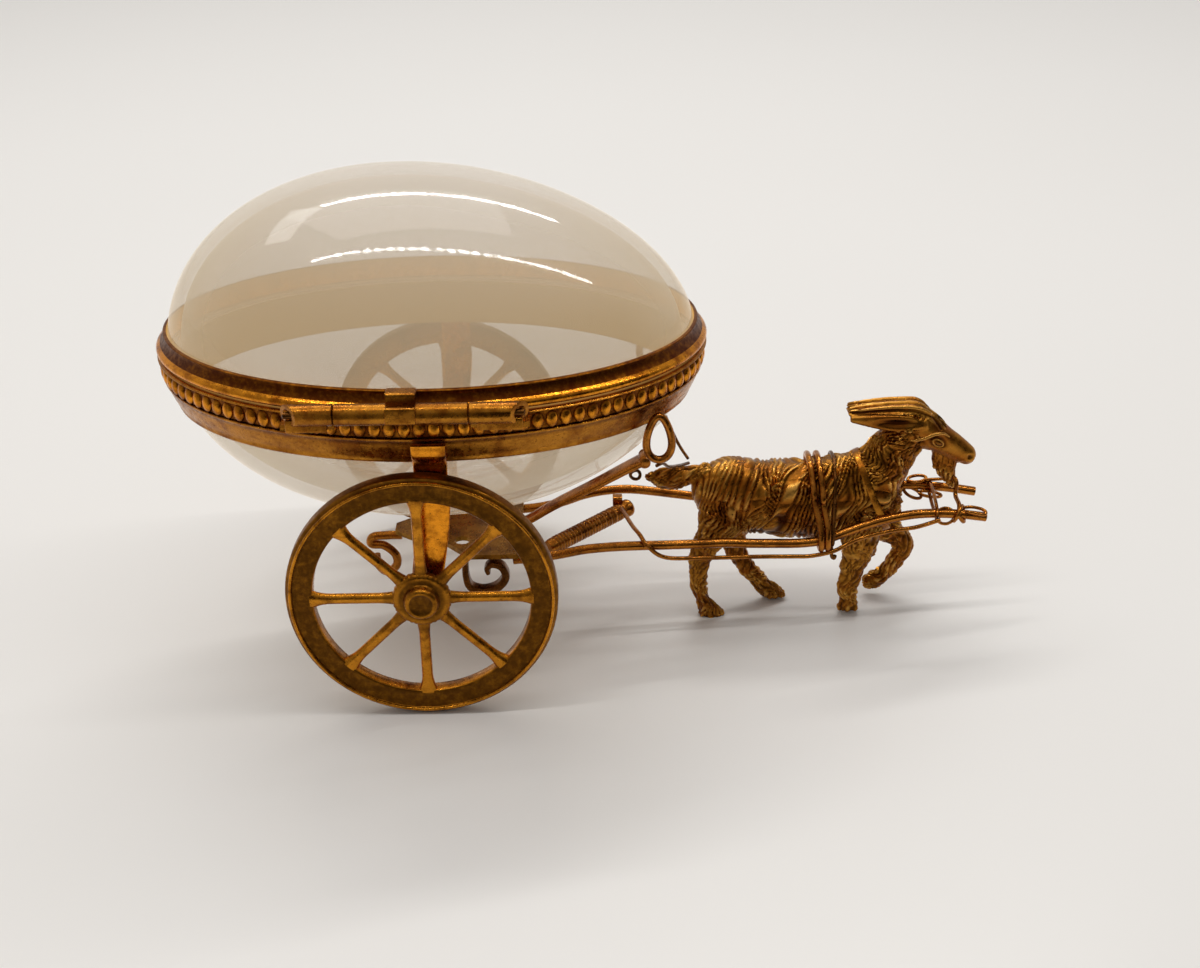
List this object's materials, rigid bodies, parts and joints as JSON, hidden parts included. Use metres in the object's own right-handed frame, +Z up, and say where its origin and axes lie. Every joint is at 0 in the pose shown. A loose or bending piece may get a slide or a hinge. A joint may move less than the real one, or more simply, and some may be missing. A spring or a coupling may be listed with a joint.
{
  "type": "glass egg-shaped box",
  "caption": "Egg-shaped box of milky glass in gilt-brass mounts with a hinged lid, made as a two-wheeled cart drawn by a cast goat in shafts.",
  "frame": {"origin": "middle of the footprint, on the surface that the wheels and the standing hoof rest on", "axes": "+X from the egg's blunt end to the goat, +Y away from the hinged side, +Z up"},
  "size_m": [0.1294, 0.0664, 0.0755],
  "materials": {
    "gilt_brass": "worn gilding, polished on the mouldings, brown patina in the hollows",
    "patinated_brass": "olive-brown cast patina with rubbed gold high points",
    "milk_glass": "polished milky translucent glass"
  },
  "bodies": {
    "carriage": {"bowl_glass": "milk_glass", "goat": "patinated_brass", "beaded_band": "gilt_brass", "bowl_mount": "gilt_brass", "hinge_knuckle_front": "gilt_brass", "hinge_knuckle_rear": "gilt_brass", "hinge_pin": "gilt_brass", "axle": "gilt_brass", "axle_block": "gilt_brass", "strap_near": "gilt_brass", "strap_far": "gilt_brass", "frame_plate": "gilt_brass", "scroll_near": "gilt_brass", "scroll_far": "gilt_brass", "rear_hook": "gilt_brass", "front_arm": "gilt_brass", "tail_shackle": "gilt_brass", "shaft_near": "gilt_brass", "shaft_far": "gilt_brass", "crossbar": "gilt_brass", "trace_near": "gilt_brass", "saddle_band_front": "gilt_brass", "saddle_band_rear": "gilt_brass", "girth_wire": "gilt_brass", "collar": "gilt_brass", "shaft_tie": "gilt_brass", "bit_wire": "gilt_brass", "eye_loop_near": "gilt_brass", "eye_loop_far": "gilt_brass", "rein_near": "gilt_brass", "rein_far": "gilt_brass"},
    "lid": {"lid_glass": "milk_glass", "lid_mount": "gilt_brass", "lid_knuckle": "gilt_brass"},
    "wheel_near": {"wheel_near": "gilt_brass"},
    "wheel_far": {"wheel_far": "gilt_brass"}
  },
  "joints": [
    {"name": "lid_hinge", "type": "hinge", "parent": "carriage", "child": "lid", "pos_m": [-0.02363, -0.0304, 0.05015], "axis": [1, 0, 0], "range_deg": [0, 100]},
    {"name": "wheel_near_turn", "type": "hinge", "parent": "carriage", "child": "wheel_near", "pos_m": [-0.02358, -0.0302, 0.02], "axis": [0, 1, 0], "continuous": true},
    {"name": "wheel_far_turn", "type": "hinge", "parent": "carriage", "child": "wheel_far", "pos_m": [-0.02358, 0.0302, 0.02], "axis": [0, 1, 0], "continuous": true}
  ]
}
